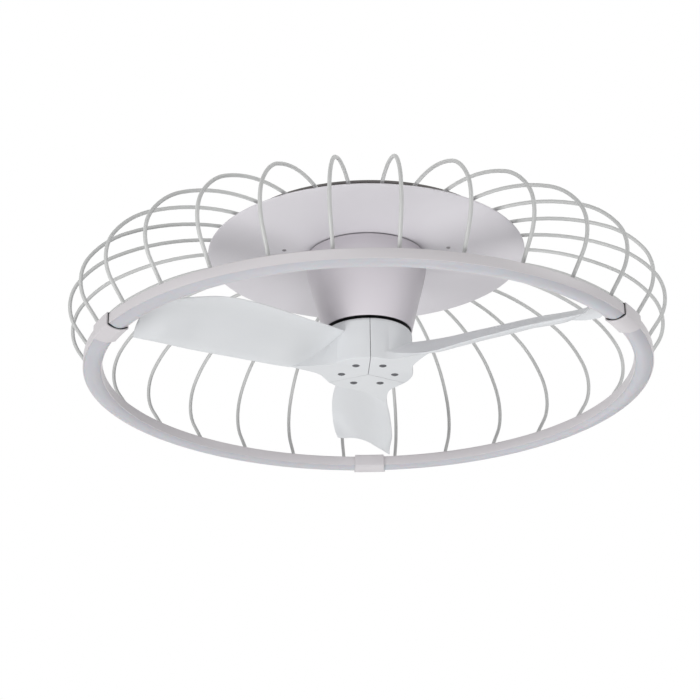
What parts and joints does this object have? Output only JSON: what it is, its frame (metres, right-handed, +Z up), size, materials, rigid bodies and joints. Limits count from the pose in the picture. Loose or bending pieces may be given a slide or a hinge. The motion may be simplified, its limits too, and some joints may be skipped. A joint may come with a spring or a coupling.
{
  "type": "caged orbital ceiling fan",
  "caption": "Low ceiling fan: pitched blades on a small hub under a tapered motor housing, inside a cage of curved wires that carries a lit ring.",
  "frame": {"origin": "centre of the ceiling fixing, on the plane of the ceiling", "axes": "+Z up into the ceiling; the fan hangs towards -Z; -Y is the front, the side nearest the camera in the picture"},
  "size_m": [0.6404, 0.637, 0.1648],
  "materials": {
    "satin_paint": "satin, pale warm grey",
    "ring_paint": "satin, pale warm grey",
    "blade_plastic": "matt, cool white",
    "opal_diffuser": "smooth opal",
    "pan_paint": "satin, dark grey",
    "black_rubber": "matt",
    "black_plastic": "matt",
    "white_plastic": "fine moulded grain",
    "zinc_steel": "zinc plated",
    "bearing_steel": "ground",
    "dark_screw": "dark zinc",
    "lamination": "stacked sheet",
    "magnet": "sintered, dark",
    "enamelled_copper": "enamelled wire",
    "circuit_board": "solder mask",
    "cable_sheath": "matt"
  },
  "bodies": {
    "frame": {"ceiling_bracket": "zinc_steel", "fixing_screws": "dark_screw", "ceiling_pan": "pan_paint", "pan_rim_seal": "black_rubber", "canopy_disc": "satin_paint", "cage_band_front": "satin_paint", "cage_band_right": "satin_paint", "cage_band_left": "satin_paint", "band_screws": "zinc_steel", "cage_wires_front": "satin_paint", "cage_wires_right": "satin_paint", "cage_wires_left": "satin_paint", "lead_tube": "satin_paint", "led_lead": "cable_sheath", "ring_channel_front": "ring_paint", "ring_channel_right": "ring_paint", "ring_channel_left": "ring_paint", "ring_diffuser_front": "opal_diffuser", "ring_diffuser_right": "opal_diffuser", "ring_diffuser_left": "opal_diffuser", "led_strip_front": "white_plastic", "led_strip_right": "white_plastic", "led_strip_left": "white_plastic", "strip_connectors": "black_plastic", "joint_sleeve_right": "ring_paint", "joint_sleeve_far": "ring_paint", "joint_sleeve_left": "ring_paint", "end_seal_right": "black_rubber", "end_seal_left": "black_rubber", "ring_plug": "black_rubber", "cone_housing": "satin_paint", "cone_floor": "black_plastic", "cone_screws": "zinc_steel", "shaft_flange": "zinc_steel", "flange_screws": "zinc_steel", "motor_shaft": "zinc_steel", "shaft_circlip": "zinc_steel", "stator_core": "lamination", "stator_coils": "enamelled_copper", "upper_bearing_inner": "bearing_steel", "lower_bearing_inner": "bearing_steel", "control_board": "circuit_board", "board_components": "black_plastic", "board_posts": "white_plastic", "led_driver": "white_plastic", "receiver_box": "white_plastic", "terminal_block": "white_plastic", "motor_lead": "cable_sheath", "board_lead": "cable_sheath"},
    "rotor": {"upper_bearing_outer": "bearing_steel", "lower_bearing_outer": "bearing_steel", "upper_bearing_balls": "bearing_steel", "lower_bearing_balls": "bearing_steel", "rotor_can": "zinc_steel", "rotor_cover": "black_plastic", "rotor_magnets": "magnet", "blade_1": "blade_plastic", "blade_2": "blade_plastic", "blade_3": "blade_plastic", "blade_screws": "dark_screw"}
  },
  "joints": [
    {"name": "rotor_spin", "type": "hinge", "parent": "frame", "child": "rotor", "pos_m": [0, 0, -0.13125], "axis": [0, 0, 1], "continuous": true}
  ]
}
